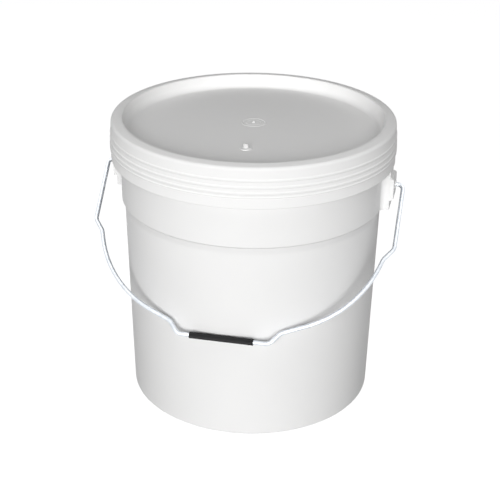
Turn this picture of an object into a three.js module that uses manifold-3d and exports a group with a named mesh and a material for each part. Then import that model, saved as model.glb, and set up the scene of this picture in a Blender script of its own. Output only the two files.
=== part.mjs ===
// A ten litre plastic bucket with a press-fit lid, a wire bail and a loose tube grip.
// Millimetres, +Z up, origin at the middle of the foot, +X along the bail's pivot axis.
// The bail is drawn hanging forward, towards -Y, with its grip against the wall.
import * as THREE from "three";
import * as BufferGeometryUtils from "three/addons/utils/BufferGeometryUtils.js";
import Module from "manifold-3d";

// Fineness of the round surfaces
const wallFacets = 72;
const wireSides = 10;
const smallBendStep = Math.PI / 12;
const wideBendStep = 0.08;
const roundShare = 0.3; // where the middle point of a rounded corner lies, as a share of its radius

// Clearances
const touchGap = 0.3; // between pieces that rest on each other
const bearingGap = 0.4; // round the wire in its ear

// Bucket wall and foot
const footRadius = 117;
const wall = 2.2;
const floorThickness = 2.6;
const footRingWidth = 8.5;
const footRecess = 2;
const footEdge = 1.7; // chamfer round the outside of the foot
const floorFillet = 3.5; // inside corner between floor and wall
const wallSpread = 4.2; // the plain wall widens this much from foot to step
const stepBottom = 189.5; // height at which the wall starts to step out
const ledgeRise = 5.7; // the ledge starts this far above the step's start
const ledgeHeight = 2;
const ledgeReach = 1.6; // the ledge stands this far out at its lower edge
const stepReach = 2.8; // the band above the step stands this far outside the wall

// Flange, neck and rolled lip of the bucket
const bandHeight = 49.1; // from the ledge to the flange's top
const flangeDepth = 9.5;
const flangeReach = 8.8; // the flange stands this far outside the band
const flangeSkirt = 2.1;
const flangeWeb = 2.1;
const flangeEdge = 0.7;
const neckStep = 1.4; // the neck stands this far outside the band
const lipRise = 25.3; // the lip's top above the flange's top
const lipHeight = 5;
const lipReach = 3.2; // the lip stands this far outside the neck
const lipEdge = 1.1;
const gussetCount = 24;
const gussetThickness = 1.4;
const gussetDrop = 0.8; // the gussets stop this far above the flange's lower edge

// Ears that carry the bail
const pivotDrop = 28; // the pivot axis below the flange's top
const earHalfWidth = 12;
const earDrop = 21.8; // the ear reaches this far below the pivot
const earStand = 7.2; // the ear's box stands this far outside the band
const earPlate = 2; // thickness of the ear's side and outer plates
const padStand = 3.2; // the pad round the hole stands this far outside the ear
const padInset = 0.6; // the pad is this much narrower than the ear on each side
const padBelow = 12.3; // below and above the pivot
const padAbove = 12.5;
const padCorner = 3.5;
const collarRadius = 3.7;
const collarHeight = 1;

// Bail wire, in its own plane: across along the pivot axis, down away from it
const wireRadius = 2;
const legStand = 7.8; // the leg stands this far outside the pad
const shoulder = { inward: 0.8, down: 65 }; // inward of the leg's top
const hip = { inward: 9.2, down: 75.6 };
const hand = { beyondGrip: 12.15, down: 167.6 }; // the straight that carries the grip
const corner = { inward: 26.6, rise: 38.3 }; // rises are above the hand
const knee = { beyondGrip: 20.75, rise: 11.3 };
const elbowBend = 5.5;
const jogBend = 9;
const cornerBend = 105;
const headRadius = 4;
const headThickness = 2;

// Grip tube
const gripLength = 60.5;
const gripRadius = 3.7;
const gripFlutes = 10;
const fluteDepth = 0.35;
const gripEnd = 1.1; // taper at each end

// Lid
const rimRise = 3.8; // the crest stands this far above the bucket's lip
const skirtOverhang = 0.6; // the skirt stands this far outside the flange
const skirtTaper = 1.5; // the crest is this much narrower than the skirt's lower edge
const crestEdge = 2;
const crestInnerEdge = 1.2;
const rimDraft = 1.5; // the recess widens this much from panel to crest
const skirtGap = 0.9; // slit between the skirt and the flange
const lidWall = 1.9;
const plugWall = 3.4; // the wall inside the bucket's neck, at the panel's edge
const plugTaper = 1.2;
const panelThickness = 2.1;
const recessDepth = 13.1; // crest to the panel's edge
const panelFillet = 2.6;
const panelCrown = 4.6; // rise of the panel's middle over its edge
const crownSteps = [0.84, 0.57, 0.285]; // shares of the panel's radius where the crown is drawn
const beadRises = [4, 9.2, 15.4]; // above the skirt's lower edge
const beadReach = 0.8;
const beadHalf = 1.3;
const snapDrop = 2; // ridge inside the skirt, this far under the middle of the lip's slope
const snapHalf = 1.5;
const gateRing = 10.8;
const gateRelief = 0.35;
const gateDot = 1.3;
const pipPlace = { x: 6.5, y: -63.5 };
const pipFoot = 5.6;
const pipFootHeight = 0.7;
const pipRadius = 1.8;
const pipHeight = 5.6;

// Seal ring in the roof of the lid's channel
const sealThickness = 1.4;
const sealSideGap = 0.5;

const wasm = await Module();
wasm.setup();

// Solids

function solidOf(geometry) {
  const bare = geometry.clone();
  bare.deleteAttribute("normal");
  bare.deleteAttribute("uv");
  const merged = BufferGeometryUtils.mergeVertices(bare, 1e-4);
  return new wasm.Manifold(
    new wasm.Mesh({
      numProp: 3,
      vertProperties: new Float32Array(merged.attributes.position.array),
      triVerts: new Uint32Array(merged.index.array),
    }),
  );
}

function geometryOf(solid) {
  const mesh = solid.getMesh();
  const geometry = new THREE.BufferGeometry();
  geometry.setAttribute("position", new THREE.BufferAttribute(mesh.vertProperties, 3));
  geometry.setIndex(new THREE.BufferAttribute(mesh.triVerts, 1));
  geometry.computeVertexNormals();
  return geometry;
}

// A profile of [radius, height] pairs, run up the outside and back down the inside, turned about Z.
function turned(profile, facets = wallFacets) {
  const points = profile.map(([radius, height]) => new THREE.Vector2(Math.max(radius, 0), height));
  const closed = points[0].x === 0 ? points : [...points, points[0].clone()];
  const geometry = new THREE.LatheGeometry(closed, facets, Math.PI / facets);
  return geometry.rotateX(Math.PI / 2);
}

function box(from, to) {
  const size = to.map((value, axis) => value - from[axis]);
  const geometry = new THREE.BoxGeometry(...size);
  return geometry.translate(...from.map((value, axis) => value + size[axis] / 2));
}

// A cylinder along X between two places.
function pinAlongX(radius, fromX, toX, z, sides = 24) {
  const geometry = new THREE.CylinderGeometry(radius, radius, toX - fromX, sides);
  return geometry.rotateZ(Math.PI / 2).translate((fromX + toX) / 2, 0, z);
}

function joined(first, ...others) {
  return others.reduce((whole, piece) => whole.add(piece), first);
}

// The same piece on the other side of the axis.
function turnedHalfway(geometry) {
  return geometry.clone().rotateZ(Math.PI);
}

// Sizes that follow from the driving ones

const wallTopRadius = footRadius + wallSpread;
const wallSlope = wallSpread / stepBottom;
const bandRadius = wallTopRadius + stepReach;
const ledgeBottom = stepBottom + ledgeRise;
const ledgeTop = ledgeBottom + ledgeHeight;
const flangeRadius = bandRadius + flangeReach;
const flangeTop = ledgeTop + bandHeight;
const flangeBottom = flangeTop - flangeDepth;
const lipTop = flangeTop + lipRise;
const neckRadius = bandRadius + neckStep;
const lipRadius = neckRadius + lipReach;
const earReach = bandRadius + earStand; // outer face of the ear's box
const pivotHeight = flangeTop - pivotDrop;
const earBottom = pivotHeight - earDrop;
const padReach = earReach + padStand; // outer face of the pad
const legAcross = padReach + legStand;
const lidSkirtRadius = flangeRadius + skirtOverhang;
const lidBottom = flangeTop + skirtGap;
const lidTop = lipTop + rimRise;
const crestOuter = lidSkirtRadius - skirtTaper;
const channelRoof = lidTop - lidWall;
const plugOuter = neckRadius - wall - touchGap;
const panelEdgeRadius = plugOuter - plugWall;
const panelEdgeHeight = lidTop - recessDepth;
const crestInner = panelEdgeRadius + rimDraft; // the rim's inner edge at the crest
const snapHeight = lipTop - lipHeight - snapDrop;
const headOuter = earReach - earPlate - bearingGap; // the wire's head lies behind the ear's outer plate

// The outer radius of the plain wall below the step.
function wallRadiusAt(height) {
  return footRadius + wallSlope * height;
}

// The bail leans forward until its grip, a gap off the wall, hangs at its reach from the pivot.
const gripStandoff = gripRadius + touchGap;
const leanSpan = hand.down * Math.hypot(1, wallSlope);
const bailLean =
  Math.asin((wallRadiusAt(pivotHeight) + gripStandoff) / leanSpan) - Math.atan(wallSlope);

// Bucket

function bucketProfile() {
  const floorTop = footRecess + floorThickness;
  const webUnder = flangeTop - flangeWeb;
  const skirtInner = flangeRadius - flangeSkirt;
  const floorCorner = wallRadiusAt(floorTop + floorFillet) - wall;
  return [
    [0, footRecess],
    [footRadius - footEdge - footRingWidth - footRecess, footRecess],
    [footRadius - footEdge - footRingWidth, 0],
    [footRadius - footEdge, 0],
    [wallRadiusAt(footEdge), footEdge],
    [wallTopRadius, stepBottom],
    [wallTopRadius + ledgeReach, ledgeBottom],
    [bandRadius, ledgeTop],
    [bandRadius, webUnder],
    [skirtInner, webUnder],
    [skirtInner, flangeBottom],
    [flangeRadius - flangeEdge, flangeBottom],
    [flangeRadius, flangeBottom + flangeEdge],
    [flangeRadius, flangeTop - flangeEdge],
    [flangeRadius - flangeEdge, flangeTop],
    [neckRadius + flangeEdge, flangeTop],
    [neckRadius, flangeTop + flangeEdge],
    [neckRadius, lipTop - lipHeight],
    [lipRadius, lipTop - lipHeight + lipReach / 2],
    [lipRadius, lipTop - lipEdge],
    [lipRadius - lipEdge, lipTop],
    [neckRadius - wall + lipEdge, lipTop],
    [neckRadius - wall, lipTop - lipEdge],
    [neckRadius - wall, flangeTop + flangeEdge],
    [bandRadius - wall, webUnder],
    [bandRadius - wall, ledgeTop],
    [wallTopRadius - wall, stepBottom],
    [floorCorner, floorTop + floorFillet],
    [floorCorner - roundShare * floorFillet, floorTop + roundShare * floorFillet],
    [floorCorner - floorFillet, floorTop],
    [0, floorTop],
  ];
}

// One ear at +X: an open-bottomed box under the flange, with a pad and a collar round the hole.
function earSolid() {
  const root = bandRadius - wall + wall / 4; // inside the wall's thickness
  const top = flangeTop - flangeWeb / 2;
  const shell = solidOf(box([root, -earHalfWidth, earBottom], [earReach, earHalfWidth, top]));
  const inside = earHalfWidth - earPlate;
  const hollow = solidOf(
    box([root - wall, -inside, earBottom - 1], [earReach - earPlate, inside, flangeTop - 2 * flangeWeb]),
  );
  const collar = solidOf(
    pinAlongX(collarRadius, earReach - earPlate / 2, padReach + collarHeight, pivotHeight),
  );
  const boreRadius = wireRadius + bearingGap;
  const bore = solidOf(
    pinAlongX(boreRadius, earReach - 2 * earPlate, padReach + 2 * collarHeight, pivotHeight),
  );
  return joined(shell.subtract(hollow), padSolid(), collar).subtract(bore);
}

// The pad: a rounded plate on the ear's outer face.
function padSolid() {
  const outline = new THREE.Shape();
  const half = earHalfWidth - padInset;
  outline.moveTo(-half + padCorner, -padBelow);
  outline.lineTo(half - padCorner, -padBelow);
  outline.absarc(half - padCorner, -padBelow + padCorner, padCorner, -Math.PI / 2, 0);
  outline.absarc(half - padCorner, padAbove - padCorner, padCorner, 0, Math.PI / 2);
  outline.absarc(-half + padCorner, padAbove - padCorner, padCorner, Math.PI / 2, Math.PI);
  outline.absarc(-half + padCorner, -padBelow + padCorner, padCorner, Math.PI, 1.5 * Math.PI);
  const geometry = new THREE.ExtrudeGeometry(outline, {
    depth: padReach - earReach + earPlate / 2,
    bevelEnabled: false,
    curveSegments: 5,
  });
  // Drawn in the XY plane, then stood up so that its thickness runs along X.
  geometry.rotateX(Math.PI / 2).rotateZ(Math.PI / 2);
  return solidOf(geometry.translate(earReach - earPlate / 2, 0, pivotHeight));
}

// Stiffening gussets between the band and the flange's skirt, clear of the ears.
function gussetSolids() {
  const from = bandRadius - wall / 2;
  const to = flangeRadius - flangeSkirt / 2;
  const half = gussetThickness / 2;
  const plate = box(
    [from, -half, flangeBottom + gussetDrop],
    [to, half, flangeTop - flangeWeb / 2],
  );
  const earSpan = Math.asin((earHalfWidth + gussetThickness) / bandRadius);
  const solids = [];
  for (let index = 0; index < gussetCount; index += 1) {
    const angle = ((index + 0.5) * 2 * Math.PI) / gussetCount;
    const fromPivotAxis = Math.min(angle % Math.PI, Math.PI - (angle % Math.PI));
    if (fromPivotAxis > earSpan) {
      solids.push(solidOf(plate.clone().rotateZ(angle)));
    }
  }
  return solids;
}

function bucketGeometry() {
  const shell = solidOf(turned(bucketProfile()));
  const ear = earSolid();
  const otherEar = solidOf(turnedHalfway(geometryOf(ear)));
  return geometryOf(joined(shell, ear, otherEar, ...gussetSolids()));
}

// Lid

// Height of the crowned panel's top at a radius.
function panelHeightAt(radius) {
  return panelEdgeHeight + panelCrown * (1 - (radius / panelEdgeRadius) ** 2);
}

// Outer radius of the lid's skirt at a height, between the crest and the lower edge.
function skirtRadiusAt(height) {
  const share = (lidTop - crestEdge - height) / (lidTop - crestEdge - lidBottom);
  return crestOuter + (lidSkirtRadius - beadReach / 2 - crestOuter) * share;
}

function beadPoints(height) {
  const radius = skirtRadiusAt(height) + beadReach;
  return [
    [skirtRadiusAt(height - beadHalf), height - beadHalf],
    [radius, height - beadHalf / 2.5],
    [radius, height + beadHalf / 2.5],
    [skirtRadiusAt(height + beadHalf), height + beadHalf],
  ];
}

function lidProfile() {
  const fillet = panelEdgeRadius - panelFillet;
  const snapRadius = lipRadius + touchGap;
  const skirtInner = lidSkirtRadius - lidWall;
  const roofOuter = crestOuter - lidWall;
  const crownRadii = crownSteps.map((share) => share * panelEdgeRadius);
  return [
    [0, panelHeightAt(0) - panelThickness],
    ...[...crownRadii].reverse().map((radius) => [radius, panelHeightAt(radius) - panelThickness]),
    [panelEdgeRadius - plugTaper, panelEdgeHeight - panelThickness],
    [plugOuter - plugTaper, panelEdgeHeight - panelThickness / 2],
    [plugOuter, channelRoof - 2 * lidWall],
    [plugOuter, channelRoof],
    [roofOuter - crestEdge / 2, channelRoof],
    [roofOuter, channelRoof - crestEdge / 2],
    [roofOuter, snapHeight + snapHalf],
    [snapRadius, snapHeight + snapHalf / 3],
    [snapRadius, snapHeight - snapHalf / 3],
    [roofOuter + roundShare * touchGap, snapHeight - snapHalf],
    [skirtInner, lidBottom],
    [lidSkirtRadius - roundShare * beadReach, lidBottom],
    [lidSkirtRadius, lidBottom + roundShare * beadReach],
    [lidSkirtRadius, lidBottom + 1.5 * beadReach],
    ...beadRises.flatMap((rise) => beadPoints(lidBottom + rise)),
    [crestOuter, lidTop - crestEdge],
    [crestOuter - roundShare * crestEdge, lidTop - roundShare * crestEdge],
    [crestOuter - crestEdge, lidTop],
    [crestInner + crestInnerEdge, lidTop],
    [crestInner, lidTop - crestInnerEdge],
    [panelEdgeRadius, panelEdgeHeight + panelFillet],
    [panelEdgeRadius - roundShare * panelFillet, panelEdgeHeight + roundShare * panelFillet],
    [fillet, panelHeightAt(fillet)],
    ...crownRadii.map((radius) => [radius, panelHeightAt(radius)]),
    ...gatePoints(),
  ];
}

// The moulding's gate in the middle of the panel: a low ring and a dot.
function gatePoints() {
  const half = gateRelief * 2;
  return [
    [gateRing + half, panelHeightAt(gateRing)],
    [gateRing, panelHeightAt(gateRing) + gateRelief],
    [gateRing - half, panelHeightAt(gateRing)],
    [gateDot + gateRelief, panelHeightAt(gateDot)],
    [gateDot, panelHeightAt(gateDot) + 2 * gateRelief],
    [0, panelHeightAt(0) + 2 * gateRelief],
  ];
}

// A small upright pip on its own low foot.
function pipSolid() {
  const ground = panelHeightAt(Math.hypot(pipPlace.x, pipPlace.y));
  const sunk = panelThickness / 2;
  const profile = [
    [0, -sunk],
    [pipFoot, -sunk],
    [pipFoot, 0.5 * pipFootHeight],
    [pipFoot - pipFootHeight, pipFootHeight],
    [pipRadius, pipFootHeight],
    [0.7 * pipRadius, pipHeight - 0.5 * pipRadius],
    [0.35 * pipRadius, pipHeight],
    [0, pipHeight],
  ];
  return solidOf(turned(profile, 16).translate(pipPlace.x, pipPlace.y, ground));
}

function lidGeometry() {
  return geometryOf(joined(solidOf(turned(lidProfile())), pipSolid()));
}

// Seal ring

function sealGeometry() {
  const inner = plugOuter + sealSideGap;
  const outer = crestOuter - lidWall - crestEdge / 2 - sealSideGap;
  const top = channelRoof - touchGap;
  return turned([
    [inner, top - sealThickness],
    [outer, top - sealThickness],
    [outer, top],
    [inner, top],
  ]);
}

// Bail

// A wire bent at its corners, stepped finely round each bend and in one step along each straight.
class BentWire extends THREE.Curve {
  constructor(corners, bendStep) {
    super();
    this.stations = [];
    corners.forEach((place, index) => {
      if (index === 0 || index === corners.length - 1) {
        const next = corners[index === 0 ? 1 : index - 1];
        const tangent = next.at.clone().sub(place.at).multiplyScalar(index === 0 ? 1 : -1);
        this.stations.push({ point: place.at, tangent: tangent.normalize() });
        return;
      }
      this.bend(corners[index - 1].at, place, corners[index + 1].at, bendStep);
    });
  }

  bend(before, place, after, bendStep) {
    const arriving = place.at.clone().sub(before).normalize();
    const leaving = after.clone().sub(place.at).normalize();
    const turn = arriving.angleTo(leaving);
    const tangentLength = place.radius * Math.tan(turn / 2);
    const start = place.at.clone().addScaledVector(arriving, -tangentLength);
    const inward = leaving.clone().addScaledVector(arriving, -leaving.dot(arriving)).normalize();
    const steps = Math.max(3, Math.ceil(turn / bendStep(place.radius)));
    for (let step = 0; step <= steps; step += 1) {
      const angle = (turn * step) / steps;
      const point = start
        .clone()
        .addScaledVector(arriving, place.radius * Math.sin(angle))
        .addScaledVector(inward, place.radius * (1 - Math.cos(angle)));
      const tangent = arriving
        .clone()
        .multiplyScalar(Math.cos(angle))
        .addScaledVector(inward, Math.sin(angle));
      this.stations.push({ point, tangent });
    }
  }

  station(share) {
    return this.stations[Math.round(share * (this.stations.length - 1))];
  }

  getPointAt(share, target = new THREE.Vector3()) {
    return target.copy(this.station(share).point);
  }

  getTangentAt(share, target = new THREE.Vector3()) {
    return target.copy(this.station(share).tangent);
  }
}

// A place in the bail's own plane: across along X, down along -Z, before the bail is leant.
function inBailPlane(across, down) {
  return new THREE.Vector3(across, 0, -down);
}

function bailCurve() {
  const gripHalf = gripLength / 2;
  const half = [
    { at: inBailPlane(headOuter - headThickness, 0) },
    { at: inBailPlane(legAcross, 0), radius: elbowBend },
    { at: inBailPlane(legAcross - shoulder.inward, shoulder.down), radius: jogBend },
    { at: inBailPlane(legAcross - hip.inward, hip.down), radius: jogBend },
    { at: inBailPlane(legAcross - corner.inward, hand.down - corner.rise), radius: cornerBend },
    { at: inBailPlane(gripHalf + knee.beyondGrip, hand.down - knee.rise), radius: jogBend },
    { at: inBailPlane(gripHalf + hand.beyondGrip, hand.down), radius: jogBend },
  ];
  const mirrored = [...half].reverse().map(({ at, radius }) => ({
    at: new THREE.Vector3(-at.x, at.y, at.z),
    radius,
  }));
  const bendStep = (radius) => (radius < cornerBend ? smallBendStep : wideBendStep);
  return new BentWire([...half, ...mirrored], bendStep);
}

function wireSection() {
  const section = new THREE.Shape();
  section.absarc(0, 0, wireRadius, 0, 2 * Math.PI);
  return section;
}

function bailGeometry() {
  const curve = bailCurve();
  const wire = new THREE.ExtrudeGeometry(wireSection(), {
    steps: curve.stations.length - 1,
    curveSegments: wireSides / 2,
    extrudePath: curve,
  });
  const head = pinAlongX(headRadius, headOuter - headThickness, headOuter, 0, 16);
  const whole = joined(solidOf(wire), solidOf(head), solidOf(turnedHalfway(head)));
  return geometryOf(whole).rotateX(-bailLean).translate(0, 0, pivotHeight);
}

// Grip

// A fluted tube with tapered ends, its length along X, leant with the bail.
function gripGeometry() {
  const bore = wireRadius + touchGap;
  const half = gripLength / 2;
  const section = new THREE.Shape();
  const samples = gripFlutes * 4;
  for (let index = 0; index < samples; index += 1) {
    const angle = (index * 2 * Math.PI) / samples;
    const radius = gripRadius - (fluteDepth / 2) * (1 - Math.cos(gripFlutes * angle));
    const place = [radius * Math.cos(angle), radius * Math.sin(angle)];
    if (index === 0) {
      section.moveTo(...place);
    } else {
      section.lineTo(...place);
    }
  }
  section.closePath();
  const fluted = new THREE.ExtrudeGeometry(section, { depth: gripLength, bevelEnabled: false });
  fluted.translate(0, 0, -half);
  const envelope = turned(
    [
      [bore, -half],
      [gripRadius - gripEnd, -half],
      [gripRadius, -half + gripEnd],
      [gripRadius, half - gripEnd],
      [gripRadius - gripEnd, half],
      [bore, half],
    ],
    24,
  );
  const tube = solidOf(fluted).intersect(solidOf(envelope));
  return geometryOf(tube).rotateY(Math.PI / 2).translate(0, 0, -hand.down);
}

// Materials

function plastic(color, roughness) {
  return new THREE.MeshStandardMaterial({ color, roughness, metalness: 0 });
}

const whitePlastic = () => plastic(0xf1f1ee, 0.42);
const blackPlastic = () => plastic(0x2b2a2b, 0.5);
const sealRubber = () => plastic(0x6d6f70, 0.85);
const zincWire = () =>
  new THREE.MeshStandardMaterial({ color: 0xc9ced6, roughness: 0.3, metalness: 0.9 });

// Assembly

function piece(name, geometry, material) {
  const mesh = new THREE.Mesh(geometry, material);
  mesh.name = name;
  return mesh;
}

const group = new THREE.Group();
group.add(
  piece("bucket", bucketGeometry(), whitePlastic()),
  piece("lid", lidGeometry(), whitePlastic()),
  piece("lid_seal", sealGeometry(), sealRubber()),
  piece("bail", bailGeometry(), zincWire()),
);

const leaning = new THREE.Group();
leaning.position.set(0, 0, pivotHeight);
leaning.rotation.x = -bailLean;
leaning.add(piece("grip", gripGeometry(), blackPlastic()));
group.add(leaning);

export default group;
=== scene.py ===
# A white ten litre plastic bucket with its lid on and its wire bail resting against the wall.
# Sizes are in millimetres in the settings and become metres where a mesh is made.
import math

import bpy
import numpy as np
from mathutils import Matrix, Vector


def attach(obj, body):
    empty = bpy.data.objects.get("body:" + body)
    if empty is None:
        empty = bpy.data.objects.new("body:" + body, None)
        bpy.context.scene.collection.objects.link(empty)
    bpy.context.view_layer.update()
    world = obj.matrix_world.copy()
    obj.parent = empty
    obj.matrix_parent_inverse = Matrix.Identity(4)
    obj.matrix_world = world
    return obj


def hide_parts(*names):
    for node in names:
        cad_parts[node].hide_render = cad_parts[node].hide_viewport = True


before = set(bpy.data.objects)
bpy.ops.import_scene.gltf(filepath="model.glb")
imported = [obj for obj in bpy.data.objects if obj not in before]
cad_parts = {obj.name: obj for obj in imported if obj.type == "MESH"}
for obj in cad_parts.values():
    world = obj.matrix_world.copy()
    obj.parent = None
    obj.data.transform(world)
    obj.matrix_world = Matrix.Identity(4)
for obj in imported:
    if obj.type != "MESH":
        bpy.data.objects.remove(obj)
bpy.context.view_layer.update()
metresPerMillimetre = 0.001
scene = bpy.context.scene


# Curves and surfaces

# Points along a bent line whose corners are rounded, each by its own radius.
def roundedLine(corners, radii, closed=False, turnStep=0.2):
    corners = np.asarray(corners, float)
    count = len(corners)
    runs = []
    for index, here in enumerate(corners):
        if radii[index] == 0 or (not closed and index in (0, count - 1)):
            runs.append(here[None])
            continue
        arriving = here - corners[index - 1]
        leaving = corners[(index + 1) % count] - here
        arriving /= np.linalg.norm(arriving)
        leaving /= np.linalg.norm(leaving)
        turn = math.acos(np.clip(arriving @ leaving, -1, 1))
        start = here - arriving * radii[index] * math.tan(turn / 2)
        inward = leaving - (leaving @ arriving) * arriving
        inward /= np.linalg.norm(inward)
        angles = np.linspace(0, turn, max(3, math.ceil(turn / turnStep) + 1))[:, None]
        runs.append(start + radii[index] * (np.sin(angles) * arriving + (1 - np.cos(angles)) * inward))
    return np.concatenate(runs)


# An object whose faces join a grid of points, rows by columns. The columns close on themselves.
# Rows may close too; otherwise each end is shut by a pole point or by one flat face.
def gridObject(name, points, poles=None, rowsClose=False, seams=None):
    rows, columns = points.shape[:2]
    vertices = points.reshape(-1, 3)
    row = np.arange(rows if rowsClose else rows - 1)[:, None]
    column = np.arange(columns)[None, :]
    nextRow = (row + 1) % rows
    nextColumn = (column + 1) % columns
    quads = np.stack(
        [
            row * columns + column, row * columns + nextColumn,
            nextRow * columns + nextColumn, nextRow * columns + column,
        ],
        axis=-1,
    ).reshape(-1, 4)
    faces = quads.tolist()
    if poles is not None:
        first, last = len(vertices), len(vertices) + 1
        vertices = np.concatenate([vertices, np.asarray(poles, float)])
        ring = np.arange(columns)
        after = (ring + 1) % columns
        end = (rows - 1) * columns
        faces += np.stack([np.full(columns, first), after, ring], axis=-1).tolist()
        faces += np.stack([end + ring, end + after, np.full(columns, last)], axis=-1).tolist()
    elif not rowsClose:
        faces.append(list(range(columns))[::-1])
        faces.append(list(range((rows - 1) * columns, rows * columns)))
    mesh = bpy.data.meshes.new(name)
    mesh.from_pydata((vertices * metresPerMillimetre).tolist(), [], faces)
    if seams is not None:
        around, along = seams
        layer = mesh.uv_layers.new(name="surface")
        loops = np.zeros(len(mesh.loops), np.int32)
        mesh.loops.foreach_get("vertex_index", loops)
        loops = np.minimum(loops, rows * columns - 1)
        uv = np.stack([around[loops % columns], along[loops // columns]], axis=-1)
        layer.data.foreach_set("uv", uv.astype(np.float32).ravel())
    mesh.update()
    made = bpy.data.objects.new(name, mesh)
    scene.collection.objects.link(made)
    return made


# A profile of radius and height, run up the outside and back down the inside, turned about Z.
def turnedObject(name, profile, turns):
    onAxis = profile[0, 0] == 0
    body = profile[1:-1] if onAxis else profile
    angle = np.arange(turns) * 2 * math.pi / turns
    points = np.stack(
        [
            body[:, :1] * np.cos(angle),
            body[:, :1] * np.sin(angle),
            np.repeat(body[:, 1:], turns, axis=1),
        ],
        axis=-1,
    )
    if onAxis:
        return gridObject(name, points, poles=[(0, 0, profile[0, 1]), (0, 0, profile[-1, 1])])
    return gridObject(name, points, rowsClose=True)


# A closed outline stacked through levels of (inset, height), and laid into space by a frame of three axes.
def stackedObject(name, outline, levels, origin, axes):
    ahead = np.roll(outline, -1, axis=0) - np.roll(outline, 1, axis=0)
    outward = np.stack([ahead[:, 1], -ahead[:, 0]], axis=-1)
    outward /= np.linalg.norm(outward, axis=1, keepdims=True)
    levels = np.asarray(levels, float)
    flat = outline[None] - outward[None] * levels[:, 0][:, None, None]
    height = np.repeat(levels[:, 1][:, None], len(outline), axis=1)
    local = np.concatenate([flat, height[..., None]], axis=-1)
    return gridObject(name, local @ np.asarray(axes, float) + np.asarray(origin, float))


# Levels of a stack between two heights, with the edge at each end rounded by its own radius.
def edgeLevels(bottom, top, bottomRadius, topRadius, steps=4):
    angle = np.linspace(0, math.pi / 2, steps + 1)
    lower = [(bottomRadius * (1 - math.sin(a)), bottom + bottomRadius * (1 - math.cos(a))) for a in angle]
    upper = [(topRadius * (1 - math.cos(a)), top - topRadius * (1 - math.sin(a))) for a in angle]
    return (lower if bottomRadius else [(0, bottom)]) + (upper if topRadius else [(0, top)])


def circleOutline(radius, sides=48):
    angle = np.arange(sides) * 2 * math.pi / sides
    return radius * np.stack([np.cos(angle), np.sin(angle)], axis=-1)


# The object after joining or cutting it with others, which are then removed.
def combined(base, operation, others):
    for other in others:
        change = base.modifiers.new(other.name, "BOOLEAN")
        change.operation = operation
        change.solver = "MANIFOLD"
        change.object = other
    shown = base.evaluated_get(bpy.context.evaluated_depsgraph_get())
    mesh = bpy.data.meshes.new_from_object(shown)
    base.modifiers.clear()
    base.data = mesh
    for other in others:
        bpy.data.objects.remove(other)
    return base


# Shades a finished piece, gives it its material, hangs it under its body and hides the imported parts that it stands
# for.
def finishPiece(piece, material, body, nodes, sharpAngle=38):
    piece.data.shade_smooth()
    piece.data.set_sharp_from_angle(angle=math.radians(sharpAngle))
    weighted = piece.modifiers.new("even shading", "WEIGHTED_NORMAL")
    weighted.keep_sharp = True
    weighted.weight = 50
    piece.data.materials.clear()
    piece.data.materials.append(material)
    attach(piece, body)
    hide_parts(*nodes)
    return piece


alongX = [(0, 1, 0), (0, 0, 1), (1, 0, 0)]  # outline in Y and Z, stacked outwards along +X
alongY = [(1, 0, 0), (0, 0, 1), (0, -1, 0)]  # outline in X and Z, stacked towards -Y
alongZ = [(1, 0, 0), (0, 1, 0), (0, 0, 1)]  # outline in X and Y, stacked upwards
halfTurn = np.diag([-1, -1, 1])


# Node helpers

def startMaterial(name):
    material = bpy.data.materials.new(name)
    material.use_nodes = True
    return material, material.node_tree, material.node_tree.nodes["Principled BSDF"]


def addNode(tree, kind, **settings):
    node = tree.nodes.new(kind)
    for key, value in settings.items():
        if key in node.inputs:
            node.inputs[key].default_value = value
        else:
            setattr(node, key, value)
    return node


skinSettings = {"cloudRatio": 2.3, "grainShare": 0.012}  # cloud scale over wave scale, grain height over wave height


# Group: fine grain and slow waviness of a moulded skin, from object coordinates.
def mouldedSkinGroup():
    group = bpy.data.node_groups.new("mouldedSkin", "ShaderNodeTree")
    interface = group.interface
    interface.new_socket("Position", in_out="INPUT", socket_type="NodeSocketVector")
    interface.new_socket("Grain Size", in_out="INPUT", socket_type="NodeSocketFloat")
    interface.new_socket("Wave Size", in_out="INPUT", socket_type="NodeSocketFloat")
    interface.new_socket("Height", in_out="OUTPUT", socket_type="NodeSocketFloat")
    interface.new_socket("Cloud", in_out="OUTPUT", socket_type="NodeSocketFloat")
    link = group.links.new
    entry = addNode(group, "NodeGroupInput")
    leave = addNode(group, "NodeGroupOutput")
    grain = addNode(group, "ShaderNodeTexNoise", Detail=2.0, Roughness=0.5)
    wave = addNode(group, "ShaderNodeTexNoise", Detail=1.0, Roughness=0.4)
    cloud = addNode(group, "ShaderNodeTexNoise", Detail=3.0, Roughness=0.55)
    cloudScale = addNode(group, "ShaderNodeMath", operation="MULTIPLY")
    cloudScale.inputs[1].default_value = skinSettings["cloudRatio"]
    for noise in (grain, wave, cloud):
        link(entry.outputs["Position"], noise.inputs["Vector"])
    link(entry.outputs["Grain Size"], grain.inputs["Scale"])
    link(entry.outputs["Wave Size"], wave.inputs["Scale"])
    link(entry.outputs["Wave Size"], cloudScale.inputs[0])
    link(cloudScale.outputs[0], cloud.inputs["Scale"])
    fine = addNode(group, "ShaderNodeMath", operation="MULTIPLY")
    fine.inputs[1].default_value = skinSettings["grainShare"]
    height = addNode(group, "ShaderNodeMath", operation="ADD")
    link(grain.outputs["Fac"], fine.inputs[0])
    link(fine.outputs[0], height.inputs[0])
    link(wave.outputs["Fac"], height.inputs[1])
    link(height.outputs[0], leave.inputs["Height"])
    link(cloud.outputs["Fac"], leave.inputs["Cloud"])
    return group


skinGroup = mouldedSkinGroup()


def addGroup(tree, group, **settings):
    node = tree.nodes.new("ShaderNodeGroup")
    node.node_tree = group
    for key, value in settings.items():
        node.inputs[key].default_value = value
    return node


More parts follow.
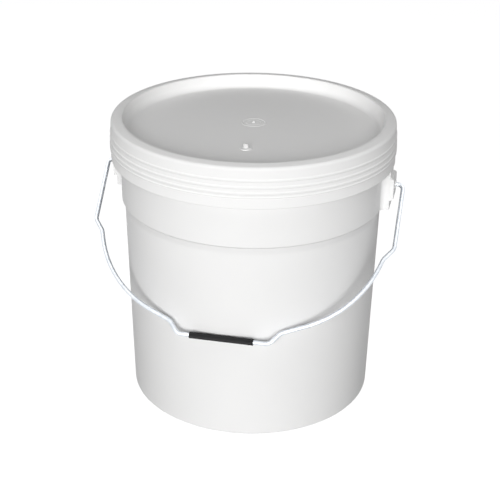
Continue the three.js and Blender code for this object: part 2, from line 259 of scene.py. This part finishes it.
# Maps a value from one span onto another.
def addSpan(tree, fromLow, fromHigh, toLow, toHigh):
    node = addNode(tree, "ShaderNodeMapRange")
    node.inputs["From Min"].default_value = fromLow
    node.inputs["From Max"].default_value = fromHigh
    node.inputs["To Min"].default_value = toLow
    node.inputs["To Max"].default_value = toHigh
    return node


def addColourMix(tree, first, second):
    node = addNode(tree, "ShaderNodeMix", data_type="RGBA")
    node.inputs[6].default_value = (*first, 1)
    node.inputs[7].default_value = (*second, 1)
    return node


# White polyethylene

whiteLook = {
    "pale": (0.91, 0.908, 0.902),
    "shade": (0.88, 0.878, 0.873),
    "roughness": (0.45, 0.53),
    "sheen": 0.08,
    "bump": 0.35,
    "relief": 0.0008,
    "grain": 900.0,
    "wave": 9.0,
}


def whitePlastic(name):
    material, tree, shader = startMaterial(name)
    link = tree.links.new
    place = addNode(tree, "ShaderNodeTexCoord")
    skin = addGroup(tree, skinGroup, **{"Grain Size": whiteLook["grain"], "Wave Size": whiteLook["wave"]})
    link(place.outputs["Object"], skin.inputs["Position"])
    mix = addColourMix(tree, whiteLook["shade"], whiteLook["pale"])
    link(skin.outputs["Cloud"], mix.inputs["Factor"])
    link(mix.outputs[2], shader.inputs["Base Color"])
    gloss = addSpan(tree, 0.35, 0.65, *whiteLook["roughness"])
    link(skin.outputs["Cloud"], gloss.inputs["Value"])
    link(gloss.outputs[0], shader.inputs["Roughness"])
    bump = addNode(tree, "ShaderNodeBump", Strength=whiteLook["bump"], Distance=whiteLook["relief"])
    link(skin.outputs["Height"], bump.inputs["Height"])
    link(bump.outputs[0], shader.inputs["Normal"])
    shader.inputs["Specular IOR Level"].default_value = whiteLook["sheen"]
    return material


# Bucket

shellSizes = {
    "footRadius": 117, "wall": 2.2, "floorThickness": 2.6, "footRingWidth": 8.5, "footRecess": 2,
    "stepFoot": (121.2, 189.5), "stepLedge": (122.6, 195.4), "stepTop": (124, 197.1),
    "flange": (132.8, 236.8, 246.3), "flangePlate": 2.1, "flangeDraft": 1.2, "neck": 125.4,
    "lipTop": 271.6, "lipHeight": 5, "lipReach": 3.2, "turns": 288,
}


def bucketShell():
    size = shellSizes
    wall = size["wall"]
    foot = size["footRadius"]
    flangeRadius, flangeBottom, flangeTop = size["flange"]
    plate = size["flangePlate"]
    neck = size["neck"]
    lipTop = size["lipTop"]
    band = size["stepTop"][0]
    lip = neck + size["lipReach"]
    ringInner = foot - 1.7 - size["footRingWidth"]
    floorTop = size["footRecess"] + size["floorThickness"]
    corners = [
        ((0, size["footRecess"] - 1.1), 0),
        ((1.6, size["footRecess"] - 1.1), 0.4),
        ((2.4, size["footRecess"]), 0.4),
        ((16, size["footRecess"]), 0.3),
        ((16.4, size["footRecess"] - 0.4), 0.2),
        ((17.2, size["footRecess"] - 0.4), 0.2),
        ((17.6, size["footRecess"]), 0.3),
        ((ringInner - 2, size["footRecess"]), 1.2),
        ((ringInner, 0), 0.8),
        ((foot + 0.02, 0), 1.6),
        (size["stepFoot"], 16),
        (size["stepLedge"], 0.9),
        (size["stepTop"], 1.1),
        ((band, flangeTop - plate), 1.2),
        ((flangeRadius - plate, flangeTop - plate), 0.8),
        ((flangeRadius - plate, flangeBottom), 0.6),
        ((flangeRadius, flangeBottom), 0.8),
        ((flangeRadius - size["flangeDraft"], flangeTop), 0.9),
        ((neck, flangeTop), 0.9),
        ((neck, lipTop - size["lipHeight"]), 0.8),
        ((lip, lipTop - size["lipHeight"] + 1.6), 1),
        ((lip, lipTop), 1.4),
        ((neck - wall, lipTop), 1.2),
        ((neck - wall, flangeTop + 0.7), 1.2),
        ((band - wall, flangeTop - plate), 1.2),
        ((band - wall, size["stepTop"][1]), 3),
        ((size["stepFoot"][0] - wall, size["stepFoot"][1]), 5),
        ((foot + 0.1 - wall, floorTop), 3.5),
        ((0, floorTop), 0),
    ]
    profile = roundedLine([place for place, radius in corners], [radius for place, radius in corners])
    return turnedObject("bucket_skin", profile, size["turns"])


earSizes = {
    "pivot": 218.3, "half": 12, "bottom": 196.5, "reach": 131.2, "plate": 2, "root": 122.3,
    "flare": 5, "corner": 1, "padReach": 134.4, "padHalf": 11.9, "padBelow": 12.3, "padAbove": 9.3,
    "padUpperRound": 2.6, "padLowerRound": 1.3, "collar": 3.7, "collarHeight": 1, "bore": 2.4,
}


# The pieces of one ear that are added to the shell, and those that are cut away. side is 1 at +X and -1 at -X.
def earPieces(side):
    size = earSizes
    turn = np.eye(3) if side > 0 else halfTurn
    upright = np.asarray(alongZ, float) @ turn
    outward = np.asarray(alongX, float) @ turn
    across = np.asarray(alongY, float) @ turn
    half, reach, root, flare = size["half"], size["reach"], size["root"], size["flare"]
    surface = math.sqrt(shellSizes["stepTop"][0] ** 2 - half**2)
    top = shellSizes["flange"][2] - shellSizes["flangePlate"] / 2
    rim = [
        ((root, -half - flare), 0),
        ((surface - 0.9, -half - flare), 0),
        ((surface, -half), flare * 0.98),
        ((reach, -half), size["corner"]),
        ((reach, half), size["corner"]),
        ((surface, half), flare * 0.98),
        ((surface - 0.9, half + flare), 0),
        ((root, half + flare), 0),
    ]
    outline = roundedLine([p for p, r in rim], [r for p, r in rim], closed=True)
    shell = stackedObject(f"ear_{side}", outline, edgeLevels(size["bottom"], top, 0.5, 0), (0, 0, 0), upright)
    inner = half - size["plate"]
    clear = shellSizes["stepTop"][0] + 0.05  # the hollow stops just off the bucket's wall
    behindPlate = reach - size["plate"]
    hollow = [
        ((clear, -inner), 0),
        ((behindPlate, -inner), 0.8),
        ((behindPlate, inner), 0.8),
        ((clear, inner), 0),
    ]
    outline = roundedLine([p for p, r in hollow], [r for p, r in hollow], closed=True)
    cut = stackedObject(
        f"hollow_{side}", outline, [(0, size["bottom"] - 1), (0, top - 3)], (0, 0, 0), upright
    )
    middle = (0, 0, size["pivot"])
    padFrom, padTo = size["pivot"] - size["padBelow"], size["pivot"] + size["padAbove"]
    profile = [(reach - 1, padFrom), (size["padReach"], padFrom), (size["padReach"], padTo), (reach - 1, padTo)]
    outline = roundedLine(profile, [0, size["padLowerRound"], size["padUpperRound"], 0], closed=True)
    half = size["padHalf"]
    pad = stackedObject(f"pad_{side}", outline, edgeLevels(-half, half, 0.6, 0.6), (0, 0, 0), across)
    collarTop = size["padReach"] + size["collarHeight"]
    collar = stackedObject(
        f"collar_{side}", circleOutline(size["collar"]), edgeLevels(reach - 1, collarTop, 0, 0.45), middle, outward
    )
    levels = [(0, reach - 4), (0, collarTop - 0.4), (-0.3, collarTop - 0.1), (-0.6, collarTop + 0.5)]
    bore = stackedObject(f"bore_{side}", circleOutline(size["bore"]), levels, middle, outward)
    return [shell, pad, collar], cut, bore


gussetSizes = {"count": 24, "thickness": 1.4, "from": 122.9, "to": 131.8, "bottom": 237.6, "top": 245.2}


# Thin upright plates under the flange, all in one mesh, none of them inside the ears.
def gussetPlates():
    size = gussetSizes
    half = size["thickness"] / 2
    angle = (np.arange(size["count"]) + 0.5) * 2 * math.pi / size["count"]
    clear = np.abs(np.sin(angle)) * shellSizes["stepTop"][0] > earSizes["half"] + size["thickness"]
    angle = angle[clear]
    corner = np.array(
        [
            (size["from"], -half, size["bottom"]), (size["to"], -half, size["bottom"]),
            (size["to"], half, size["bottom"]), (size["from"], half, size["bottom"]),
            (size["from"], -half, size["top"]), (size["to"], -half, size["top"]),
            (size["to"], half, size["top"]), (size["from"], half, size["top"]),
        ]
    )
    cosine, sine, zero, one = np.cos(angle), np.sin(angle), np.zeros_like(angle), np.ones_like(angle)
    turns = np.stack([cosine, sine, zero, -sine, cosine, zero, zero, zero, one], axis=-1).reshape(-1, 3, 3)
    vertices = np.einsum("ij,njk->nik", corner, turns).reshape(-1, 3)
    sides = np.array([(3, 2, 1, 0), (4, 5, 6, 7), (0, 1, 5, 4), (1, 2, 6, 5), (2, 3, 7, 6), (3, 0, 4, 7)])
    faces = (sides[None] + 8 * np.arange(len(angle))[:, None, None]).reshape(-1, 4)
    mesh = bpy.data.meshes.new("gussets")
    mesh.from_pydata((vertices * metresPerMillimetre).tolist(), [], faces.tolist())
    mesh.update()
    plates = bpy.data.objects.new("gussets", mesh)
    scene.collection.objects.link(plates)
    return plates


bucket = bucketShell()
added, hollows, bores = [], [], []
for side in (1, -1):
    parts, hollow, bore = earPieces(side)
    added += parts
    hollows.append(hollow)
    bores.append(bore)
combined(bucket, "UNION", [*added, gussetPlates()])
combined(bucket, "DIFFERENCE", [*hollows, *bores])
finishPiece(bucket, whitePlastic("bucket_plastic"), "bucket", ["bucket"])
print("bucket made", len(bucket.data.polygons))


# Lid

lidSizes = {
    "top": 275.4, "bottom": 246.6, "crest": (121, 131.9), "skirt": 133.4, "wall": 1.9,
    "panelEdge": (119.5, 262.3), "panelCrown": 4.6, "panelThickness": 2.1, "plug": 122.9, "plugTaper": 1.2,
    "beads": (262.6, 256.4, 251.2), "beadReach": 0.5, "beadHalf": 1.5, "roof": (273.4, 271.7),
    "crestFall": 1.6, "panelFillet": 5.5,
    "snap": (264.6, 1.5, 128.9), "gateRings": ((10.8, 0.9, 0.35), (6.9, 0.6, 0.2), (0, 2.2, 1.4)), "turns": 288,
}


def panelHeight(radius):
    edge, height = lidSizes["panelEdge"]
    return height + lidSizes["panelCrown"] * (1 - (radius / edge) ** 2)


def lidShell():
    size = lidSizes
    edge, edgeHeight = size["panelEdge"]
    crestInner, crestOuter = size["crest"]
    skirt, bottom, top, wall = size["skirt"], size["bottom"], size["top"], size["wall"]
    roofInner, roofOuter = size["roof"]
    reach, halfBead = size["beadReach"], size["beadHalf"]
    snapHeight, snapHalf, snapRadius = size["snap"]
    thick = size["panelThickness"]
    under = np.linspace(0, edge - 4, 30)
    underside = np.stack([under, panelHeight(under) - thick], axis=-1)

    def skirtAt(height):  # outer radius of the plain skirt
        share = (top - 2 - height) / (top - 2 - bottom)
        return crestOuter + (skirt - reach / 2 - crestOuter) * share

    corners = [
        ((edge - size["plugTaper"], edgeHeight - thick), 0.6),
        ((size["plug"] - size["plugTaper"], edgeHeight - thick / 2), 0.8),
        ((size["plug"], roofInner - 2 * wall), 1),
        ((size["plug"], roofInner), 0.4),
        ((crestOuter - wall, roofOuter), 1),
        ((crestOuter - wall, snapHeight + snapHalf), 0.5),
        ((snapRadius, snapHeight), 0.5),
        ((crestOuter - wall + 0.1, snapHeight - snapHalf), 0.5),
        ((skirt - wall, bottom), 0.5),
        ((skirt, bottom), 0.6),
        ((skirt, bottom + 1.2), 0.5),
        ((skirtAt(bottom + 1.9), bottom + 1.9), 0.5),
    ]
    for height in sorted(size["beads"]):
        corners += [
            ((skirtAt(height - halfBead), height - halfBead), 0.9),
            ((skirtAt(height) + reach, height - halfBead / 2.5), 0.9),
            ((skirtAt(height) + reach, height + halfBead / 2.5), 0.9),
            ((skirtAt(height + halfBead), height + halfBead), 0.9),
        ]
    corners += [
        ((crestOuter + 0.02, top - size["crestFall"]), 3.2),
        ((crestInner + 2.6, top), 7),
        ((crestInner, top - 0.3), 1.2),
        ((edge, edgeHeight), size["panelFillet"]),
    ]
    radii = [radius for place, radius in corners] + [0]
    places = [place for place, radius in corners]
    aim = edge - 20
    rim = roundedLine([*places, (aim, panelHeight(aim))], radii)[:-1]
    coarse = np.linspace(edge - 8, 14, 40)
    fine = np.linspace(13.8, 0, 70)
    over = np.concatenate([coarse, fine])
    relief = sum(
        height * (0.5 + 0.5 * np.cos(np.clip((over - ring) / half, -1, 1) * math.pi))
        for ring, half, height in size["gateRings"]
    )
    upper = np.stack([over, panelHeight(over) + relief], axis=-1)
    return turnedObject("lid_skin", np.concatenate([underside, rim, upper]), size["turns"])


pipSizes = {"place": (6.5, -63.5), "foot": 5.6, "footHeight": 0.7, "radius": 2.3, "height": 4.4}


# A small upright pip on its own low foot, sunk a little into the panel.
def lidPip():
    size = pipSizes
    corners = [
        ((0, -1), 0),
        ((size["foot"], -1), 0.2),
        ((size["foot"], size["footHeight"]), 0.5),
        ((size["radius"] + 0.3, size["footHeight"]), 0.5),
        ((size["radius"] * 0.8, size["height"]), 1.1),
        ((0, size["height"]), 0),
    ]
    profile = roundedLine([p for p, r in corners], [r for p, r in corners])
    pip = turnedObject("pip", profile, 48)
    ground = panelHeight(math.hypot(*size["place"]))
    pip.data.transform(Matrix.Translation(Vector((*size["place"], ground)) * metresPerMillimetre))
    return pip


lid = lidShell()
combined(lid, "UNION", [lidPip()])
finishPiece(lid, whitePlastic("lid_plastic"), "lid", ["lid"])
print("lid made", len(lid.data.polygons))


# Seal ring

sealSizes = {"inner": 123.4, "outer": 125.8, "top": 272.6, "thickness": 0.8}


def sealRing():
    size = sealSizes
    low = size["top"] - size["thickness"]
    corners = [(size["inner"], low), (size["outer"], low), (size["outer"], size["top"]), (size["inner"], size["top"])]
    return turnedObject("seal_ring", roundedLine(corners, [0.3] * 4, closed=True), 144)


sealLook = {
    "dark": (0.15, 0.155, 0.155), "pale": (0.2, 0.2, 0.2), "roughness": 0.8,
    "grain": 2400.0, "wave": 60.0, "bump": 0.4, "relief": 0.0004,
}


def sealRubber():
    material, tree, shader = startMaterial("seal_rubber")
    link = tree.links.new
    place = addNode(tree, "ShaderNodeTexCoord")
    skin = addGroup(tree, skinGroup, **{"Grain Size": sealLook["grain"], "Wave Size": sealLook["wave"]})
    link(place.outputs["Object"], skin.inputs["Position"])
    mix = addColourMix(tree, sealLook["dark"], sealLook["pale"])
    link(skin.outputs["Cloud"], mix.inputs["Factor"])
    link(mix.outputs[2], shader.inputs["Base Color"])
    bump = addNode(tree, "ShaderNodeBump", Strength=sealLook["bump"], Distance=sealLook["relief"])
    link(skin.outputs["Height"], bump.inputs["Height"])
    link(bump.outputs[0], shader.inputs["Normal"])
    shader.inputs["Roughness"].default_value = sealLook["roughness"]
    return material


seal = sealRing()
finishPiece(seal, sealRubber(), "lid", ["lid_seal"])
print("seal made", len(seal.data.polygons))


# Bail wire

wireSizes = {
    "radius": 2, "headOuter": 128.8, "headRadius": 4, "headThickness": 2, "leg": 142.2,
    "shoulder": (141.4, 65), "hip": (133, 75.6), "corner": (115.6, 129.3), "knee": (51, 156.3),
    "hand": (42.4, 167.6), "bends": (5.5, 9, 9, 105, 9, 9), "stations": 900, "sides": 40,
}
wallSlope = (shellSizes["stepFoot"][0] - shellSizes["footRadius"]) / shellSizes["stepFoot"][1]
gripSolidRadius = 3.7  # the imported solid's, which sets the lean
gripWallGap = 0.3
gripStandoff = gripSolidRadius + gripWallGap
wallAtPivot = shellSizes["footRadius"] + wallSlope * earSizes["pivot"]
handReach = wireSizes["hand"][1]
bailLean = math.asin((wallAtPivot + gripStandoff) / (handReach * math.hypot(1, wallSlope))) - math.atan(wallSlope)
bailAcross = np.array([1, 0, 0])
bailDown = np.array([0, -math.sin(bailLean), -math.cos(bailLean)])
bailFacing = np.cross(bailDown, bailAcross)
pivotPoint = np.array([0, 0, earSizes["pivot"]])


def bailWire():
    size = wireSizes
    radius, headOuter = size["radius"], size["headOuter"]
    inner = headOuter - size["headThickness"]
    half = [
        (headOuter, 0), (size["leg"], 0), size["shoulder"], size["hip"],
        size["corner"], size["knee"], size["hand"],
    ]
    other = [(-across, down) for across, down in half[::-1]]
    bends = [0, *size["bends"], *size["bends"][::-1], 0]
    corners = np.array([*half, *other], float)
    path = roundedLine(corners, bends, turnStep=0.07)
    steps = np.linalg.norm(np.diff(path, axis=0), axis=1)
    along = np.concatenate([[0], np.cumsum(steps)])
    stations = np.linspace(0, along[-1], size["stations"])
    path = np.stack([np.interp(stations, along, path[:, axis]) for axis in (0, 1)], axis=-1)
    thickness = np.full(len(path), radius, float)
    # The flattened head behind the ear's plate: an edge rounded by a third of its thickness.
    head = roundedLine(
        [(inner, 0.4), (inner, size["headRadius"]), (headOuter, size["headRadius"]), (headOuter, radius)],
        [0, 0.6, 0.6, 0.2],
    )
    start = np.stack([head[:, 0], np.zeros(len(head))], axis=-1)
    end = start[::-1] * (-1, 1)
    path = np.concatenate([start, path[1:-1], end])
    thickness = np.concatenate([head[:, 1], thickness[1:-1], head[::-1, 1]])
    ahead = np.gradient(path, axis=0)
    ahead[: len(head)] = (1, 0)
    ahead[-len(head):] = (1, 0)
    ahead /= np.linalg.norm(ahead, axis=1, keepdims=True)
    outward = np.stack([ahead[:, 1], -ahead[:, 0]], axis=-1)
    angle = np.arange(size["sides"]) * 2 * math.pi / size["sides"]
    centre = path[:, :1] * bailAcross + path[:, 1:] * bailDown + pivotPoint
    side = outward[:, :1] * bailAcross + outward[:, 1:] * bailDown
    ring = side[:, None] * np.cos(angle)[None, :, None] + bailFacing * np.sin(angle)[None, :, None]
    points = centre[:, None] + ring * thickness[:, None, None]
    length = np.concatenate([[0], np.cumsum(np.linalg.norm(np.diff(centre, axis=0), axis=1))])
    return gridObject(
        "bail_wire",
        points,
        poles=[centre[0], centre[-1]],
        seams=(angle / (2 * math.pi), length * metresPerMillimetre),
    )


wireLook = {
    "pale": (0.75, 0.78, 0.82), "dull": (0.64, 0.675, 0.72), "roughness": (0.34, 0.46),
    "bloom": 260.0, "drawn": (22, 14, 1), "bump": 0.25, "relief": 0.0001,
}


def zincWire():
    material, tree, shader = startMaterial("zinc_wire")
    link = tree.links.new
    place = addNode(tree, "ShaderNodeUVMap", uv_map="surface")
    stretch = addNode(tree, "ShaderNodeMapping")
    stretch.inputs["Scale"].default_value = wireLook["drawn"]
    drawn = addNode(tree, "ShaderNodeTexNoise", Scale=1.0, Detail=3.0)
    link(place.outputs["UV"], stretch.inputs["Vector"])
    link(stretch.outputs[0], drawn.inputs["Vector"])
    where = addNode(tree, "ShaderNodeTexCoord")
    bloom = addNode(tree, "ShaderNodeTexNoise", Scale=wireLook["bloom"], Detail=3.0)
    link(where.outputs["Object"], bloom.inputs["Vector"])
    mix = addColourMix(tree, wireLook["dull"], wireLook["pale"])
    spread = addSpan(tree, 0.35, 0.6, 0, 1)
    link(bloom.outputs["Fac"], spread.inputs["Value"])
    link(spread.outputs[0], mix.inputs["Factor"])
    link(mix.outputs[2], shader.inputs["Base Color"])
    gloss = addSpan(tree, 0.3, 0.7, *wireLook["roughness"])
    link(drawn.outputs["Fac"], gloss.inputs["Value"])
    link(gloss.outputs[0], shader.inputs["Roughness"])
    bump = addNode(tree, "ShaderNodeBump", Strength=wireLook["bump"], Distance=wireLook["relief"])
    link(drawn.outputs["Fac"], bump.inputs["Height"])
    link(bump.outputs[0], shader.inputs["Normal"])
    shader.inputs["Metallic"].default_value = 1
    return material


bail = bailWire()
finishPiece(bail, zincWire(), "bail", ["bail"])
print("bail made", len(bail.data.polygons))


# Grip

gripSizes = {
    "length": 59, "shift": -1.5, "radius": 3.05, "bore": 2.3, "boreEdge": 0.3, "end": 0.45,
    "flutes": 10, "flute": 0.25, "sides": 240,
}


def gripTube():
    size = gripSizes
    half = size["length"] / 2
    corners = [
        ((size["bore"], -half), size["boreEdge"]),
        ((size["radius"], -half), size["end"]),
        ((size["radius"], half), size["end"]),
        ((size["bore"], half), size["boreEdge"]),
    ]
    # Rounded in (radius, place along X); the long outer side is stepped so that the flutes can fade out.
    loop = roundedLine([p for p, r in corners], [r for p, r in corners], closed=True)
    steps = np.linspace(-half + size["end"], half - size["end"], 62)[1:-1]
    outer = loop[:, 0] > size["radius"] - 1e-6
    split = np.flatnonzero(outer & (loop[:, 1] > 0))[0]
    middle = np.stack([np.full(len(steps), size["radius"]), steps], axis=-1)
    loop = np.concatenate([loop[:split], middle, loop[split:]])
    share = np.clip((loop[:, 0] - size["bore"]) / (size["radius"] - size["bore"]), 0, 1) ** 2
    fade = np.clip((half - np.abs(loop[:, 1])) / (2 * size["end"]), 0, 1)
    angle = np.arange(size["sides"]) * 2 * math.pi / size["sides"]
    flute = size["flute"] / 2 * (1 - np.cos(size["flutes"] * angle))
    radius = loop[:, :1] - (share * fade)[:, None] * flute[None]
    centre = pivotPoint + handReach * bailDown + size["shift"] * bailAcross
    points = (
        centre
        + loop[:, 1][:, None, None] * bailAcross
        + (radius * np.cos(angle))[..., None] * bailDown
        + (radius * np.sin(angle))[..., None] * bailFacing
    )
    return gridObject(
        "grip_tube", points, rowsClose=True, seams=(angle / (2 * math.pi), loop[:, 1] * metresPerMillimetre)
    )


gripLook = {
    "dark": (0.004, 0.004, 0.005), "pale": (0.01, 0.01, 0.011), "roughness": (0.4, 0.52), "sheen": 0.2,
    "grain": 2600.0, "wave": 120.0, "bump": 0.3, "relief": 0.0003,
}


def blackPlastic():
    material, tree, shader = startMaterial("grip_plastic")
    link = tree.links.new
    place = addNode(tree, "ShaderNodeTexCoord")
    skin = addGroup(tree, skinGroup, **{"Grain Size": gripLook["grain"], "Wave Size": gripLook["wave"]})
    link(place.outputs["Object"], skin.inputs["Position"])
    mix = addColourMix(tree, gripLook["dark"], gripLook["pale"])
    link(skin.outputs["Cloud"], mix.inputs["Factor"])
    link(mix.outputs[2], shader.inputs["Base Color"])
    gloss = addSpan(tree, 0.3, 0.7, *gripLook["roughness"])
    link(skin.outputs["Cloud"], gloss.inputs["Value"])
    link(gloss.outputs[0], shader.inputs["Roughness"])
    bump = addNode(tree, "ShaderNodeBump", Strength=gripLook["bump"], Distance=gripLook["relief"])
    link(skin.outputs["Height"], bump.inputs["Height"])
    link(bump.outputs[0], shader.inputs["Normal"])
    shader.inputs["Specular IOR Level"].default_value = gripLook["sheen"]
    return material


grip = gripTube()
finishPiece(grip, blackPlastic(), "grip", ["grip"])
print("grip made", len(grip.data.polygons))


# Camera at the photo's view

cameraSettings = {
    "turn": 11.8, "unit": 0.133, "back": 7.914, "up": 4.841,  # back and up count in units of the lid's radius
    "yaw": -0.0019, "pitch": 0.4501, "roll": 0.0122, "lens": 86.2,
}


def placeCamera():
    spec = cameraSettings
    turn = math.radians(spec["turn"])
    turned = Matrix.Rotation(turn, 3, "Z")
    forward = turned @ Vector(
        (
            math.sin(spec["yaw"]) * math.cos(spec["pitch"]),
            math.cos(spec["yaw"]) * math.cos(spec["pitch"]),
            -math.sin(spec["pitch"]),
        )
    )
    level = forward.cross(Vector((0, 0, 1))).normalized()
    above = level.cross(forward)
    cosine, sine = math.cos(spec["roll"]), math.sin(spec["roll"])
    right = cosine * level + sine * above
    up = -sine * level + cosine * above
    data = bpy.data.cameras.new("camera")
    data.lens = spec["lens"]
    data.sensor_width = 36
    data.clip_end = 50
    camera = bpy.data.objects.new("camera", data)
    scene.collection.objects.link(camera)
    place = turned @ Vector((0, -spec["back"], spec["up"])) * spec["unit"]
    axes = Matrix((right, up, -forward)).transposed().to_4x4()
    camera.matrix_world = Matrix.Translation(place) @ axes
    scene.camera = camera


placeCamera()


# Floor, light and background

stageSettings = {
    "floorColour": (0.36, 0.36, 0.364),
    "floorGlow": 0.95,  # what the camera sees of the floor, beside a share of its lit colour
    "floorLitShare": 0.3,
    "floorHalf": 4.0,
    "aimHeight": 0.14,
    "world": 0.05,
    "lights": {
        "frontLeft": {"azimuth": -17, "height": 15, "distance": 3.2, "size": (1.2, 1.2), "power": 47.5},
        "frontRight": {"azimuth": 8, "height": 15, "distance": 3.2, "size": (1.2, 1.2), "power": 41},
        "overhead": {"azimuth": 0, "height": 80, "distance": 2.8, "size": (1.8, 1.8), "power": 6.5},
        "sideLeft": {"azimuth": -80, "height": 50, "distance": 0.7, "size": (0.4, 0.4), "power": 0.65},
        "sideRight": {"azimuth": 80, "height": 50, "distance": 0.7, "size": (0.4, 0.4), "power": 0.65},
    },
}


# A soft panel light that faces the bucket's middle. Azimuth 0 is the photo's side of the bucket.
def addPanelLight(name, spec):
    data = bpy.data.lights.new(name, "AREA")
    data.shape = "RECTANGLE"
    data.size, data.size_y = spec["size"]
    data.energy = spec["power"]
    lamp = bpy.data.objects.new(name, data)
    scene.collection.objects.link(lamp)
    azimuth = math.radians(spec["azimuth"] + cameraSettings["turn"])
    height = math.radians(spec["height"])
    away = Vector((math.sin(azimuth) * math.cos(height), -math.cos(azimuth) * math.cos(height), math.sin(height)))
    lamp.location = Vector((0, 0, stageSettings["aimHeight"])) + away * spec["distance"]
    lamp.rotation_mode = "QUATERNION"
    lamp.rotation_quaternion = (-away).to_track_quat("-Z", "Y")
    return lamp


# White backing for what is looked at directly or mirrored; the rest of the light sees a plain surface.
def addSeenFactor(tree):
    rays = addNode(tree, "ShaderNodeLightPath")
    mirrored = addNode(tree, "ShaderNodeMath", operation="MAXIMUM")
    seen = addNode(tree, "ShaderNodeMath", operation="MAXIMUM")
    tree.links.new(rays.outputs["Is Camera Ray"], mirrored.inputs[0])
    tree.links.new(rays.outputs["Is Glossy Ray"], mirrored.inputs[1])
    tree.links.new(mirrored.outputs[0], seen.inputs[0])
    tree.links.new(rays.outputs["Is Transmission Ray"], seen.inputs[1])
    return seen.outputs[0]


def floorMaterial():
    material, tree, shader = startMaterial("floor_paper")
    link = tree.links.new
    shader.inputs["Base Color"].default_value = (*stageSettings["floorColour"], 1)
    shader.inputs["Roughness"].default_value = 0.9
    shader.inputs["Specular IOR Level"].default_value = 0.1
    share = stageSettings["floorLitShare"]
    lit = addNode(tree, "ShaderNodeBsdfDiffuse", Color=(share, share, share, 1))
    glow = addNode(tree, "ShaderNodeEmission", Color=(1, 1, 1, 1), Strength=stageSettings["floorGlow"])
    seen = addNode(tree, "ShaderNodeAddShader")
    mix = addNode(tree, "ShaderNodeMixShader")
    link(lit.outputs[0], seen.inputs[0])
    link(glow.outputs[0], seen.inputs[1])
    link(addSeenFactor(tree), mix.inputs[0])
    link(shader.outputs[0], mix.inputs[1])
    link(seen.outputs[0], mix.inputs[2])
    link(mix.outputs[0], tree.nodes["Material Output"].inputs["Surface"])
    return material


def addFloor():
    half = stageSettings["floorHalf"]
    mesh = bpy.data.meshes.new("floor")
    corners = [(-half, -half, 0), (half, -half, 0), (half, half, 0), (-half, half, 0)]
    mesh.from_pydata(corners, [], [(0, 1, 2, 3)])
    mesh.materials.append(floorMaterial())
    floor = bpy.data.objects.new("floor", mesh)
    scene.collection.objects.link(floor)


def setWorld():
    world = bpy.data.worlds.new("studio")
    scene.world = world
    world.use_nodes = True
    tree = world.node_tree
    link = tree.links.new
    background = tree.nodes["Background"]
    seen = addNode(tree, "ShaderNodeBackground", Color=(1, 1, 1, 1), Strength=1.0)
    mix = addNode(tree, "ShaderNodeMixShader")
    background.inputs["Color"].default_value = (1, 1, 1, 1)
    background.inputs["Strength"].default_value = stageSettings["world"]
    link(addSeenFactor(tree), mix.inputs[0])
    link(background.outputs[0], mix.inputs[1])
    link(seen.outputs[0], mix.inputs[2])
    link(mix.outputs[0], tree.nodes["World Output"].inputs["Surface"])


addFloor()
for lightName, lightSpec in stageSettings["lights"].items():
    addPanelLight(lightName, lightSpec)
setWorld()
scene.view_settings.view_transform = "Standard"
